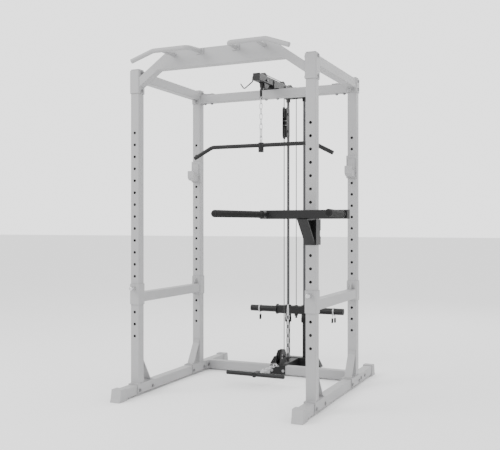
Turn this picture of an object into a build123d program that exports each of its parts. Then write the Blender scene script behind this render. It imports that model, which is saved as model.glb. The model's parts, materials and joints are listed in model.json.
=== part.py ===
from build123d import *
import math
import os

# Power cage with a lat and low-pulley station, dip station, J-hooks and safety bars.
# Millimetres. X runs across the cage, Y from the open front to the back, Z up from the floor.
# Everything is laid out from the middle of the four uprights, then moved so that the
# origin lies under the middle of the whole object's box.

# ---- driving dimensions: cage ----
tube = 60.0                    # square frame tube
wall = 2.0
tube_corner = 5.0
plate = 5.0                    # bracket plate
fit_gap = 0.5                  # bracket to tube
upright_x = 584.0              # middle of the cage to the middle of an upright
upright_pitch = 810.0          # front upright to rear upright
upright_top = 2045.0
foot_height = 10.0             # rubber under the rails
rail_front = 225.0             # rail ahead of the front uprights
rail_back = 410.0              # rail behind the rear uprights
hole_d = 18.0
hole_pitch = 75.0
hole_count = 18
lowest_hole = 373.0
side_beam_drop = 8.0           # top of a side beam below the top of the uprights
rear_beam_drop = 33.0
arm_sleeve_drop = 5.0          # the pull-up beam's sleeves below the top of the uprights
arm_sleeve_height = 143.0
pull_up_rise = 92.0            # top of the pull-up beam over the top of the uprights
pull_up_depth = 107.0
pull_up_flat = 352.0           # half the beam's level top
grip_d = 28.0

# ---- driving dimensions: safety bars and hooks ----
safety_top = 645.0
sleeve_height = 129.0
pin_d = 12.0
pin_hole_from_bottom = 4       # holes up from the lowest
hook_hole_from_bottom = 14
hook_reach = 80.0

# ---- driving dimensions: pulley station ----
boom = 50.0
boom_wall = 3.0
boom_rise = 20.0               # underside of the boom over the rear top crossbeam
boom_reach = 270.0             # boom ahead of the rear uprights
boom_tail = 515.0              # boom behind the rear uprights
cable_d = 6.0
front_pulley_r = 47.0          # radius to the cable's centreline
pulley_r = 37.5
low_pulley_r = 45.0
flange = 6.0                   # wheel rim beyond the cable's centreline
wheel_width = 22.0
axle_d = 10.0
running_gap = 0.08
lat_cable_reach = 194.0        # the cable to the lat bar, ahead of the rear uprights
block_cable_back = 228.0       # the front cable of the travelling block, behind the uprights
rim_gap = 11.0                 # between the rims of the two rearmost top wheels
anchor_hook_top = 460.0        # inside the top of the anchor's snap hook
rod_d = 20.0
rod_x = 65.0
carriage_z = 429.0             # centre of the plate sleeves at rest
carriage_half = 157.0
sleeve_d = 50.0
sleeve_tip = 367.0
block_upper_z = 1879.0
block_gap = 126.0              # axle to axle in the travelling block
low_cable_z = 80.0
lat_bar_d = 28.0
lat_bar_half = 369.0           # level part, either side of the middle
lat_bar_tip = 507.0
lat_bar_fall = 71.0
low_bar_half = 208.0
chain_wire = 5.0
chain_pitch = 34.5
chain_width = 22.0
lat_links = 6
row_links = 7
snap_inner = 50.0              # snap hook, inside
snap_wire = 7.0
hub_d = 37.0
hub_length = 65.0

# ---- driving dimensions: dip station ----
dip_z = 1128.0
dip_beam_half = 250.0
dip_beam_reach = 105.0         # dip beam ahead of the front uprights' faces
dip_handle_length = 490.0
dip_splay = 9.7                # degrees outwards
dip_grip_d = 39.0

# ---- places worked out from those ----
front_y = -upright_pitch / 2 + 30
rear_y = front_y + upright_pitch
half = tube / 2
rail_z = foot_height + half
rail_top = foot_height + tube
saddle_top = rail_top + plate
inner_x = upright_x - half
outer_x = upright_x + half
front_face = front_y - half
rear_face = rear_y - half
side_beam_top = upright_top - side_beam_drop
rear_beam_top = upright_top - rear_beam_drop
arm_sleeve_top = upright_top - arm_sleeve_drop
arm_sleeve_bottom = arm_sleeve_top - arm_sleeve_height
pull_up_top = upright_top + pull_up_rise
boom_bottom = rear_beam_top + boom_rise
boom_front = rear_y - boom_reach
boom_back = rear_y + boom_tail
strand_front = rear_y - lat_cable_reach
strand_block = rear_y + block_cable_back
strand_return = strand_block + 2 * pulley_r
strand_stack = strand_return + 4 * pulley_r + 2 * flange + rim_gap     # down to the weight carriage
dip_beam_y = front_face - dip_beam_reach
run_z = boom_bottom + boom + 17
front_pulley_z = run_z - front_pulley_r
pulley_z = run_z - pulley_r
axle_r = axle_d / 2
cable_r = cable_d / 2

nodes = {}
bolts = []
nuts = []
drills = []


def block_of(x0, x1, y0, y1, z0, z1):
    """Solid box between two corners."""
    middle = Pos((x0 + x1) / 2, (y0 + y1) / 2, (z0 + z1) / 2)
    return middle * Box(abs(x1 - x0), abs(y1 - y0), abs(z1 - z0))


def square_tube(start, end, width=tube, height=tube, thick=wall, across=(1, 0, 0)):
    """Hollow tube from start to end, its width along the given direction."""
    line = Vector(*end) - Vector(*start)
    plane = Plane(origin=start, x_dir=across, z_dir=line.normalized())
    outer = RectangleRounded(width, height, tube_corner)
    inner = RectangleRounded(width - 2 * thick, height - 2 * thick, tube_corner - thick)
    return extrude(plane * (outer - inner), amount=line.length)


def level_tube(reach, y, z, width=tube, height=tube, thick=wall, x=0.0):
    """Hollow tube across the cage, reaching the same way to each side of x."""
    return square_tube((x - reach, y, z), (x + reach, y, z), width, height, thick, across=(0, 1, 0))


def cylinder(start, end, d, bore=0.0):
    """Round bar or tube between two points."""
    line = Vector(*end) - Vector(*start)
    plane = Plane(origin=start, z_dir=line.normalized())
    face = Circle(d / 2)
    if bore:
        face = face - Circle(bore / 2)
    return extrude(plane * face, amount=line.length)


def across_x(x0, x1, y, z, d, bore=0.0):
    """Round bar or tube across the cage."""
    return cylinder((x0, y, z), (x1, y, z), d, bore)


def standing(x, y, z0, z1, d, bore=0.0):
    """Upright round bar or tube."""
    return cylinder((x, y, z0), (x, y, z1), d, bore)


def bent_bar(points, radius, d, bore=0.0):
    """Round bar along a bent line."""
    path = FilletPolyline(*points, radius=radius)
    face = Circle(d / 2)
    if bore:
        face = face - Circle(bore / 2)
    plane = Plane(origin=path @ 0, z_dir=path % 0)
    return sweep(plane * face, path=path)


def prism_x(points, x0, x1):
    """Outline in Y and Z carried from x0 to x1."""
    outline = make_face(Polyline(*points, close=True))
    plane = Plane(origin=(min(x0, x1), 0, 0), x_dir=(0, 1, 0), z_dir=(1, 0, 0))
    return extrude(plane * outline, amount=abs(x1 - x0))


def add(name, *shapes):
    """Store one named piece made of one or more solids."""
    solids = []
    for shape in shapes:
        solids.extend(shape.solids())
    nodes[name] = solids


def fasten(point, axis, grip, d=10.0, nut_too=True):
    """Hex bolt with its head at the point, its shank along the axis and a nut past the grip."""
    place = Plane(origin=point, z_dir=axis)
    head_af = 1.75 * d
    head = extrude(place * RegularPolygon(head_af / 2, 6, major_radius=False), amount=-0.62 * d)
    washer = extrude(place * Circle(1.1 * d), amount=-1.5)
    thread = 1.1 * d if nut_too else 0.0
    shank = extrude(place * Circle(d / 2), amount=grip + thread)
    bolts.append(head + washer + shank)
    if nut_too:
        far = place.offset(grip)
        hexagon = RegularPolygon(head_af / 2, 6, major_radius=False) - Circle(d / 2 + 0.05)
        ring = Circle(1.1 * d) - Circle(d / 2 + 0.05)
        nuts.append(extrude(far * hexagon, amount=0.8 * d) + extrude(far * ring, amount=1.5))
    drills.append(extrude(place.offset(-1) * Circle(d / 2 + fit_gap), amount=grip + 2))


def drilled(shape):
    """Take the bolt holes that meet this shape out of it."""
    box = shape.bounding_box()
    for hole in drills:
        other = hole.bounding_box()
        apart = any(
            getattr(box.max, a) < getattr(other.min, a) or getattr(other.max, a) < getattr(box.min, a)
            for a in ("X", "Y", "Z")
        )
        if not apart:
            shape = shape - hole
    return shape


def upright(side, y):
    """Perforated upright, open at its foot, holes front to back."""
    x = side * upright_x
    post = square_tube((x, y, saddle_top), (x, y, upright_top))
    first = lowest_hole
    for number in range(hole_count):
        z = first + number * hole_pitch
        post = post - cylinder((x, y - tube, z), (x, y + tube, z), hole_d)
    return post


def sleeve(side, y, z0, z1):
    """Square collar of bent plate round an upright."""
    x = side * upright_x
    inside = tube + 2 * fit_gap
    outside = inside + 2 * plate
    ring = RectangleRounded(outside, outside, tube_corner + plate)
    ring = ring - RectangleRounded(inside, inside, tube_corner)
    return extrude(Plane(origin=(x, y, z0)) * ring, amount=z1 - z0)


def channel(side, y0, y1, z0, z1):
    """Inverted U of plate that sits over a base rail."""
    x = side * upright_x
    wide = half + fit_gap + plate
    over = block_of(x - wide, x + wide, y0, y1, z0, z1)
    return over - block_of(x - half - fit_gap, x + half + fit_gap, y0 - 1, y1 + 1, z0 - 1, rail_top)


def strap(side, y_post, y_foot, z_post, z_foot, width):
    """Bent flat strap that braces an upright, with a turned foot at each end."""
    x = side * upright_x
    reach = y_foot - y_post
    way = math.copysign(1, reach)
    points = [
        (y_post, z_post),
        (y_post + way * plate, z_post),
        (y_post + way * plate, z_post - 25),
        (y_foot - way * 20, z_foot + plate),
        (y_foot, z_foot + plate),
        (y_foot, z_foot),
        (y_foot - way * 24, z_foot),
        (y_post, z_post - 30),
    ]
    return prism_x(points, x - width / 2, x + width / 2)


def sheave(y, z, pitch_r, x=0.0):
    """Grooved pulley wheel on a cross axle, dished on both faces."""
    outer = pitch_r + flange
    groove = cable_r + 0.4
    turn = Plane(origin=(x, y, z), z_dir=(1, 0, 0))
    wheel = Cylinder(outer, wheel_width)
    ring = Cylinder(outer + 1, 2 * groove) - Cylinder(pitch_r, 2 * groove)
    wheel = wheel - ring - Torus(pitch_r, groove)
    dish = Cylinder(pitch_r - 9, 5) - Cylinder(13, 5)
    wheel = wheel - Pos(0, 0, wheel_width / 2 - 2) * dish
    wheel = wheel - Pos(0, 0, -wheel_width / 2 + 2) * dish
    wheel = wheel - Cylinder(axle_r + running_gap, wheel_width + 2)
    return turn.location * wheel


def over_two(y_front, r_front, y_back, r_back):
    """Cable up over one wheel, level to the next and down behind it."""
    z = run_z
    rise = CenterArc((y_front, z - r_front), r_front, 180, -90)
    level = Line((y_front, z), (y_back, z))
    fall = CenterArc((y_back, z - r_back), r_back, 90, -90)
    return cable_along([rise, level, fall])


def cable_along(edges):
    """Cable of round section along edges drawn in the Y-Z plane."""
    solids = None
    for edge in edges:
        line = Plane.YZ * edge
        plane = Plane(origin=line @ 0, z_dir=line % 0)
        piece = sweep(plane * Circle(cable_r), path=line)
        solids = piece if solids is None else solids + piece
    return solids


def link_loop(centre, along, across, inner_length, width, wire):
    """Closed oval loop of wire."""
    bend = (width - wire) / 2
    side = inner_length + wire - 2 * bend
    plane = Plane(origin=centre, x_dir=along, z_dir=Vector(along).cross(Vector(across)))
    path = plane * SlotCenterToCenter(side, 2 * bend).wire()
    start = Plane(origin=path @ 0, z_dir=path % 0)
    return sweep(start * Circle(wire / 2), path=path)


def hanging_loop(start, direction, across, inner, width, wire):
    """Loop whose inside begins at start, with 0.3 mm of play at each end."""
    way = Vector(direction)
    return link_loop(Vector(start) + way * (inner / 2), way, across, inner + 0.6, width, wire)


def chain(start, direction, count, turned=0):
    """Straight run of links, each turned a quarter from the last."""
    way = Vector(direction)
    faces = [Vector(1, 0, 0), way.cross(Vector(1, 0, 0))]
    links = []
    for number in range(count):
        near = Vector(*start) + way * (chain_pitch * number)
        across = faces[(number + turned) % 2]
        links.append(hanging_loop(near, way, across, chain_pitch, chain_width, chain_wire))
    return links


# ---- bolts (listed first, because the pieces they hold take their holes from them) ----
rail_bolt_z = 35.0
sleeve_wall = fit_gap + plate
sleeve_grip = tube + 2 * sleeve_wall
corner_x = inner_x - sleeve_wall - 14.5  # outer edge of the rear beam's corner plates
cross_y = rear_y + 135                 # middle of the bottom crossmember
front_foot = (front_y - 47, front_y + 149)
rear_foot = (rear_y - 144, rear_y + 45)
for side in (-1, 1):
    inwards = (-side, 0, 0)
    sleeve_face = side * (outer_x + sleeve_wall)
    for y in (front_foot[0] + 23, front_foot[1] - 23, rear_foot[0] + 14, rear_foot[1] - 21):
        fasten((sleeve_face, y, rail_bolt_z), inwards, sleeve_grip)
    for y in (cross_y - 45, cross_y + 45):
        fasten((side * outer_x, y, foot_height + half), inwards, tube + plate)
    for z in (arm_sleeve_top - 12, arm_sleeve_bottom + 16):
        fasten((sleeve_face, front_y, z), inwards, sleeve_grip)
    for z in (side_beam_top - 12, side_beam_top - 67):
        fasten((sleeve_face, rear_y, z), inwards, sleeve_grip)
    for x in (corner_x - 10, corner_x - 63):
        fasten((side * x, rear_y, rear_beam_top + plate), (0, 0, -1), tube + plate)
saddle_bolt_x = 43.0
low_housing_front = cross_y - half - plate
for x in (-saddle_bolt_x, saddle_bolt_x):
    fasten((x, rear_y, rear_beam_top + plate), (0, 0, -1), tube + plate)
    fasten((x, low_housing_front, foot_height + 26), (0, 1, 0), tube + 2 * plate)

# ---- base ----
rail_ends = (front_y - rail_front, rear_y + rail_back)
rails = []
feet = []
middle_z = foot_height + half
for side in (-1, 1):
    x = side * upright_x
    rails.append(drilled(square_tube((x, rail_ends[0], middle_z), (x, rail_ends[1], middle_z))))
add("base_rails", *rails)

for side in (-1, 1):
    x = side * upright_x
    for y, way in ((rail_ends[0], -1), (rail_ends[1], 1)):
        shell = half + 4
        outline = [
            (y - way * 62, 0),
            (y + way * 24, 0),
            (y + way * 16, 22),
            (y + way * 6, rail_top + 6),
            (y - way * 48, rail_top + 6),
        ]
        cap = prism_x(outline, x - shell, x + shell)
        pocket = block_of(x - half, x + half, y - way * 70, y, foot_height, rail_top)
        feet.append(cap - pocket)
cross_end = inner_x - plate
cross = [level_tube(cross_end, cross_y, middle_z)]
for side in (-1, 1):
    ends = (side * cross_end, side * inner_x)
    cross.append(block_of(*ends, cross_y - 62, cross_y + 62, foot_height, rail_top))
add("bottom_crossmember", *[drilled(piece) for piece in cross])

foot_brackets = []
for side in (-1, 1):
    lift = saddle_top + 165
    saddle = channel(side, front_foot[0], front_foot[1], foot_height + 8, saddle_top)
    brace = strap(side, front_y + half, front_foot[1] - 8, lift, saddle_top, 50)
    foot_brackets.append(drilled(saddle) + brace)
    saddle = channel(side, rear_foot[0], rear_foot[1], foot_height + 8, saddle_top)
    brace = strap(side, rear_y - half, rear_foot[0] + 8, lift, saddle_top, 50)
    foot_brackets.append(drilled(saddle) + brace)
add("foot_brackets", *foot_brackets)

# ---- uprights ----
posts = []
caps = []
for side in (-1, 1):
    for y in (front_y, rear_y):
        posts.append(drilled(upright(side, y)))
        x = side * upright_x
        lid = Pos(x, y, upright_top + 1.5) * Box(tube, tube, 3)
        lid = fillet(lid.edges().filter_by(Axis.Z), tube_corner)
        plug = Pos(x, y, upright_top - 4) * Box(tube - 2 * wall - 1, tube - 2 * wall - 1, 8)
        plug = fillet(plug.edges().filter_by(Axis.Z), tube_corner - wall)
        caps.append(lid + plug)
add("uprights", *posts)
add("upright_caps", *caps)

# ---- top beams ----
side_beam_z = side_beam_top - half
side_beams = []
for side in (-1, 1):
    x = side * upright_x
    y0 = front_y + half + sleeve_wall
    y1 = rear_y - half - sleeve_wall
    beam = square_tube((x, y0, side_beam_z), (x, y1, side_beam_z))
    shoe = sleeve(side, rear_y, side_beam_top - 88, side_beam_top)
    corner = [(y1 - 55, side_beam_top - tube), (y1, side_beam_top - tube), (y1, side_beam_top - 88)]
    gusset = prism_x(corner, x - 3, x + 3)
    side_beams += [beam, drilled(shoe), gusset]
add("top_side_beams", *side_beams)

beam_end = inner_x - sleeve_wall
rear_beam_z = rear_beam_top - half
rear_beam = level_tube(beam_end, rear_y, rear_beam_z)
corner_plates = []
for side in (-1, 1):
    ends = (side * corner_x, side * (corner_x - 89))
    top = block_of(*ends, rear_y - half, rear_y + half, rear_beam_top, rear_beam_top + plate)
    corner_plates.append(drilled(top))
add("rear_top_crossbeam", drilled(rear_beam), *corner_plates)

# ---- pull-up beam ----
arm_fall = 0.705
arm_end = inner_x - fit_gap
arm_top = pull_up_top - (arm_end - pull_up_flat) * arm_fall
arm_bottom = arm_top - 62
pull_up_bottom = pull_up_top - pull_up_depth
low_flat = arm_end - (pull_up_bottom - arm_bottom) / arm_fall
beam_outline = [
    (-arm_end, arm_bottom),
    (-low_flat, pull_up_bottom),
    (low_flat, pull_up_bottom),
    (arm_end, arm_bottom),
    (arm_end, arm_top),
    (pull_up_flat, pull_up_top),
    (-pull_up_flat, pull_up_top),
    (-arm_end, arm_top),
]
beam_plane = Plane(origin=(0, front_y + half, 0), x_dir=(1, 0, 0), z_dir=(0, -1, 0))
beam_face = make_face(Polyline(*beam_outline, close=True))
pull_up = extrude(beam_plane * beam_face, amount=tube)
hollow = extrude(beam_plane.offset(wall) * offset(beam_face, -wall), amount=tube - 2 * wall)
pull_up = fillet(pull_up.edges().filter_by(Plane.XZ), 3) - hollow
for side in (-1, 1):
    into_sleeve = side * (inner_x - sleeve_wall + 2)
    past = block_of(
        into_sleeve, side * outer_x, front_y - tube, front_y + tube, arm_bottom - 5, arm_top + 5
    )
    pull_up = pull_up - past + sleeve(side, front_y, arm_sleeve_bottom, arm_sleeve_top)
add("pull_up_beam", drilled(pull_up))

grip_z = pull_up_top - 24
grip_y = front_face - 135
grip_root_x = 118.0
grip_stay_x = 303.0
grips = []
for side in (-1, 1):
    bar = bent_bar(
        [
            (side * grip_root_x, front_face - 2, grip_z + 6),
            (side * (grip_root_x + 14), grip_y, grip_z),
            (side * 368, grip_y, grip_z),
            (side * 512, grip_y - 10, grip_z - 52),
        ],
        [32, 60],
        grip_d,
    )
    stay_start = (side * (grip_stay_x + 3), grip_y + 6, grip_z - 1)
    stay_end = (side * (grip_stay_x - 3), front_face + 1, grip_z - 2)
    stay = cylinder(stay_start, stay_end, grip_d - 3)
    root = side * grip_root_x
    foot = block_of(root - 24, root + 24, front_face - 4, front_face, grip_z - 14, grip_z + 20)
    behind = block_of(-400, 400, front_face, front_face + 20, grip_z - 60, grip_z + 60)
    grips.append(bar + stay + foot - behind)
add("pull_up_grips", *grips)

# ---- safety bars with their spring pins ----
safety_z = safety_top - half
pin_z = lowest_hole + pin_hole_from_bottom * hole_pitch
safety_bars = []
for side, name in ((-1, "left"), (1, "right")):
    x = side * upright_x
    y0 = front_y + half + sleeve_wall
    y1 = rear_y - half - sleeve_wall
    bar = square_tube((x, y0, safety_z), (x, y1, safety_z))
    front_shoe = sleeve(side, front_y, safety_top - 74, safety_top - 74 + sleeve_height)
    rear_shoe = sleeve(side, rear_y, safety_top - 74, safety_top - 74 + sleeve_height)
    rise = [(y1 - 45, safety_top), (y1, safety_top), (y1, safety_top + 45)]
    gusset = prism_x(rise, x - 3, x + 3)
    face = front_face - sleeve_wall
    barrel = cylinder((x, face - 16, pin_z), (x, face + 1, pin_z), 24)
    body = bar + front_shoe + rear_shoe + gusset + barrel
    body = body - cylinder((x, face - 20, pin_z), (x, face + plate + 2, pin_z), pin_d + 0.4)
    safety_bars.append(body)
    pin = cylinder((x, face - 44, pin_z), (x, front_face + 20, pin_z), pin_d)
    knob = cylinder((x, face - 46, pin_z), (x, face - 18, pin_z), 26)
    knob = fillet(knob.edges().filter_by(GeomType.CIRCLE), 5)
    neck = cylinder((x, face - 18, pin_z), (x, face - 16.4, pin_z), 16)
    add(name + "_safety_pin", pin + knob + neck)
add("safety_bars", *safety_bars)

# ---- J-hooks on the rear uprights ----
hook_z = lowest_hole + hook_hole_from_bottom * hole_pitch
hook_bottom = hook_z - 42
hook_top = hook_z + 107
for side, name in ((-1, "left"), (1, "right")):
    x = side * upright_x
    clear = 1.0
    back = rear_face - clear
    inside = half + clear
    outside = inside + plate
    web = block_of(x - outside, x + outside, back - plate, rear_y - 6, hook_bottom, hook_top)
    web = web - block_of(x - inside, x + inside, back, rear_y, hook_bottom - 1, hook_top + 1)
    root = back - plate
    tip = root - hook_reach
    hook_outline = [
        (root, hook_z),
        (tip + 12, hook_z),
        (tip + 12, hook_z + 30),
        (tip + 8, hook_z + 34),
        (tip, hook_z + 34),
        (tip, hook_z - 14),
        (tip + 16, hook_z - 30),
        (root, hook_z - 38),
    ]
    shelf = prism_x(hook_outline, x - 24, x + 24)
    pegs = cylinder((x, back - 1, hook_z), (x, rear_face + 22, hook_z), hole_d - 2)
    pegs = pegs + Pos(0, 0, hole_pitch) * pegs
    add(name + "_j_hook", web + shelf + pegs)
    bed = block_of(x - 24, x + 24, tip + 12, root - 6, hook_z, hook_z + 6)
    lining = block_of(x - 24, x + 24, root - 6, root, hook_z, hook_top - 20)
    add(name + "_j_hook_liner", bed + lining)

# ---- boom over the back of the cage ----
boom_top = boom_bottom + boom
boom_z = boom_bottom + boom / 2
front_pulley_y = strand_front + front_pulley_r
second_y = strand_block - pulley_r
third_y = strand_return + pulley_r
rear_pulley_y = strand_stack - pulley_r
top_wheels = (
    ("front_top_pulley", front_pulley_y, front_pulley_z, front_pulley_r),
    ("second_top_pulley", second_y, pulley_z, pulley_r),
    ("third_top_pulley", third_y, pulley_z, pulley_r),
    ("rear_top_pulley", rear_pulley_y, pulley_z, pulley_r),
)
slot = wheel_width + 6
beam = square_tube((0, boom_front, boom_z), (0, boom_back, boom_z), boom, boom, boom_wall)
for name, y, z, r in top_wheels:
    reach = r + flange + 4
    beam = beam - block_of(-slot / 2, slot / 2, y - reach, y + reach, boom_bottom - 1, boom_top + 1)
    beam = beam - cylinder((-boom, y, z), (boom, y, z), axle_d + 0.6)
beam = beam - block_of(-slot / 2, slot / 2, second_y, rear_pulley_y, boom_bottom - 1, boom_top + 1)
front_lid = block_of(-boom / 2, boom / 2, boom_front - 3, boom_front, boom_bottom, boom_top)
shroud = [
    (front_pulley_y - 34, boom_bottom),
    (front_pulley_y + 62, boom_bottom),
    (front_pulley_y + 20, boom_bottom - 36),
    (front_pulley_y - 22, boom_bottom - 36),
]
for side in (-1, 1):
    beam = beam + prism_x(shroud, side * (slot / 2), side * (slot / 2 + 4))
keeper_r = front_pulley_r + flange + 6
keeper_y = front_pulley_y + keeper_r * math.cos(math.radians(55))
keeper_z = front_pulley_z - keeper_r * math.sin(math.radians(55))
beam = beam + cylinder((-slot / 2, keeper_y, keeper_z), (slot / 2, keeper_y, keeper_z), 7)
cap = block_of(-boom / 2, boom / 2, boom_back, boom_back + 3, boom_bottom, boom_top)
stub = boom / 2 - boom_wall - 1
plug = block_of(-stub, stub, boom_back - 14, boom_back, boom_z - stub, boom_z + stub)
black_caps = [cap + fillet(plug.edges().filter_by(Axis.Y), 3)]

saddle_plate = block_of(-62, 62, rear_y - half, rear_y + half, rear_beam_top, rear_beam_top + plate)
for side in (-1, 1):
    cheek = [
        (rear_y - half, rear_beam_top + plate),
        (rear_y + half, rear_beam_top + plate),
        (rear_y + half, boom_top - 8),
        (rear_y - half, boom_top - 8),
    ]
    saddle_plate = saddle_plate + prism_x(cheek, side * boom / 2, side * (boom / 2 + 4))
rest = rear_beam_top + plate
rest_block = block_of(-boom / 2, boom / 2, rear_y - half, rear_y + half, rest, boom_bottom)
add("boom_saddle", drilled(saddle_plate + rest_block))

rod_top = boom_bottom - 6
tail_x = rod_x + 26
tail = block_of(-tail_x, tail_x, strand_stack - 27, strand_stack + 27, rod_top, boom_bottom)
opening = (strand_stack - 60, strand_stack + 10)
tail = tail - block_of(-slot / 2, slot / 2, *opening, rod_top - 4, boom_bottom + 1)
for side in (-1, 1):
    x = side * rod_x
    tail = tail + standing(x, strand_stack, rod_top - 24, rod_top, rod_d + 12)
    tail = tail - standing(x, strand_stack, rod_top - 25, rod_top, rod_d + 0.4)
add("lat_boom", beam + front_lid + tail)

hook_rod = bent_bar(
    [
        (-boom / 2 - 4, boom_front + 6, boom_bottom + 30),
        (-boom / 2 - 6, boom_front + 6, boom_bottom - 4),
        (-92, boom_front + 4, boom_bottom - 50),
        (-117, boom_front + 2, boom_bottom - 14),
    ],
    [8, 12],
    8.0,
)
add("handle_hook", hook_rod - block_of(-boom / 2, boom / 2, 0, boom_back, boom_bottom, boom_top))

axles = []
spacers = []


def axle(y, z, outside, gap):
    """Cross bolt for a wheel, with a spacer each side of the wheel."""
    span = outside / 2
    pin = cylinder((-span - 12, y, z), (span, y, z), axle_d)
    head = extrude(Plane(origin=(span, y, z), z_dir=(1, 0, 0)) * RegularPolygon(9, 6), amount=6)
    axles.append(pin + head)
    nut_face = RegularPolygon(9, 6) - Circle(axle_r + 0.05)
    axles.append(extrude(Plane(origin=(-span, y, z), z_dir=(-1, 0, 0)) * nut_face, amount=8))
    for side in (-1, 1):
        inner = wheel_width / 2 + 0.4
        ring = cylinder((side * inner, y, z), (side * gap / 2, y, z), axle_d + 6, axle_d + 0.2)
        spacers.append(ring)


for name, y, z, r in top_wheels:
    add(name, sheave(y, z, r))
    axle(y, z, boom, boom - 2 * boom_wall)

# ---- upper cable: over the boom and down to the block and the carriage ----
cable_runs = [
    over_two(front_pulley_y, front_pulley_r, second_y, pulley_r),
    over_two(third_y, pulley_r, rear_pulley_y, pulley_r),
]

# ---- travelling block ----
block_r = (strand_return - strand_block) / 2
block_y = (strand_block + strand_return) / 2
block_lower_z = block_upper_z - block_gap
add("block_upper_pulley", sheave(block_y, block_upper_z, block_r))
add("block_lower_pulley", sheave(block_y, block_lower_z, block_r))
cheek_outline = SlotCenterToCenter(block_gap + 50, 62)
cheek_gap = wheel_width / 2 + 2
plates = []
for side in (-1, 1):
    inner_face = (side * cheek_gap, block_y, block_upper_z - block_gap / 2)
    place = Plane(origin=inner_face, x_dir=(0, 0, 1), z_dir=(side, 0, 0))
    cheek = extrude(place * cheek_outline, amount=4)
    for z in (block_upper_z, block_lower_z):
        cheek = cheek - across_x(-tube, tube, block_y, z, axle_d + 0.4)
    plates.append(cheek)
mid = block_upper_z - block_gap / 2
web = block_of(-cheek_gap, cheek_gap, block_y - 10, block_y + 10, mid - 12, mid + 12)
add("block_cheeks", plates[0] + plates[1] + web)
block_axles = []
for z in (block_upper_z, block_lower_z):
    span = cheek_gap + 4
    pin = cylinder((-span - 8, block_y, z), (span, block_y, z), axle_d)
    head = extrude(Plane(origin=(span, block_y, z), z_dir=(1, 0, 0)) * RegularPolygon(9, 6), amount=6)
    nut_face = RegularPolygon(9, 6) - Circle(axle_r + 0.05)
    nut = extrude(Plane(origin=(-span, block_y, z), z_dir=(-1, 0, 0)) * nut_face, amount=7)
    block_axles += [pin + head, nut]
add("block_axles", *block_axles)
under = CenterArc((block_y, block_upper_z), block_r, 180, 180)
over = CenterArc((block_y, block_lower_z), block_r, 180, -180)
add("block_cable_turns", cable_along([under]), cable_along([over]))

# ---- cable strands that grow and shrink as the weights move ----
stop_top = boom_bottom - 44
carriage_top = carriage_z + 36
add("strand_to_lat_bar", standing(0, strand_front, stop_top, front_pulley_z, cable_d))
add("strand_to_carriage", standing(0, strand_stack, carriage_top, pulley_z, cable_d))
over_strands = []
for y in (strand_block, strand_return):
    over_strands.append(standing(0, y, block_upper_z, pulley_z, cable_d))
add("strands_over_block", *over_strands)

# ---- lat bar on its chain: the loops hang in one another, inner end to inner end ----
stop_z = stop_top - 50
stop = standing(0, strand_front, stop_z, stop_top, 17)
stop = fillet(stop.edges().filter_by(GeomType.CIRCLE), 5)
down = Vector(0, 0, -1)
eye = hanging_loop((0, strand_front, stop_z - 1), down, (1, 0, 0), 14, 18, chain_wire)
add("lat_cable_stop", stop + eye)
chain_top = stop_z - 15
snap_top = chain_top - lat_links * chain_pitch
links = chain((0, strand_front, chain_top), down, lat_links, turned=1)
snap = hanging_loop((0, strand_front, snap_top), down, (0, 1, 0), snap_inner, 30, snap_wire)
eye_top = snap_top - snap_inner
eye_inner = 20.0
swivel_d = 16.0
swivel_head_d = 22.0
swivel_eye = hanging_loop((0, strand_front, eye_top), down, (1, 0, 0), eye_inner, 20, 6)
stub_top = eye_top - eye_inner + 1
lat_bar_z = stub_top - 39
hub_top = lat_bar_z + 18
hub = standing(0, strand_front, hub_top - hub_length, hub_top, hub_d)
hub = fillet(hub.edges().filter_by(GeomType.CIRCLE), 3)
hub = hub - standing(0, strand_front, hub_top - 8, hub_top + 1, swivel_d + 0.4)
hub = hub - standing(0, strand_front, hub_top - 20, hub_top - 8, swivel_head_d + 0.4)
stub = standing(0, strand_front, hub_top - 10, stub_top, swivel_d)
stub = stub + standing(0, strand_front, hub_top - 19, hub_top - 8.4, swivel_head_d)
bar_points = [
    (-lat_bar_tip, strand_front, lat_bar_z - lat_bar_fall),
    (-lat_bar_half, strand_front, lat_bar_z),
    (lat_bar_half, strand_front, lat_bar_z),
    (lat_bar_tip, strand_front, lat_bar_z - lat_bar_fall),
]
bar_in_hub = standing(0, strand_front, hub_top - 21, hub_top, hub_d - 2)
lat_bar = bent_bar(bar_points, 70, lat_bar_d)
add("lat_bar", (lat_bar - bar_in_hub) + hub)
add("lat_chain", *links, snap, stub + swivel_eye)

# ---- weight carriage on its guide rods ----
foot_half = 200.0
toe_x = foot_half - 30
cross_foot = level_tube(toe_x, strand_stack, middle_z)
toes = []
for side in (-1, 1):
    toe = [
        (side * toe_x, foot_height),
        (side * foot_half, foot_height),
        (side * foot_half, foot_height + 8),
        (side * toe_x, rail_top),
    ]
    outline = make_face(Polyline(*toe, close=True))
    back = Plane(origin=(0, strand_stack + half, 0), x_dir=(1, 0, 0), z_dir=(0, -1, 0))
    toes.append(extrude(back * outline, amount=tube))
spine_back = strand_stack - half
spine_front = cross_y + half + plate
spine = square_tube((0, spine_front, foot_height + half), (0, spine_back, foot_height + half))
spine_plate = block_of(-57, 57, cross_y + half, spine_front, foot_height, rail_top)
rod_plate_top = rail_top + 4
rod_plate_x = rod_x + 30
rod_plate = block_of(
    -rod_plate_x, rod_plate_x, strand_stack - half, strand_stack + half, rail_top, rod_plate_top
)
anchor_y = strand_return
anchor_links = round((anchor_hook_top - snap_inner - rail_top - 20) / chain_pitch)
anchor_end = anchor_hook_top - snap_inner - anchor_links * chain_pitch
lug_hole_z = anchor_end - 0.3 - chain_wire / 2
ear = [
    (anchor_y - 15, rail_top),
    (anchor_y + 15, rail_top),
    (anchor_y + 9, lug_hole_z + 10),
    (anchor_y - 9, lug_hole_z + 10),
]
lug = prism_x(ear, -plate / 2, plate / 2)
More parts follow.
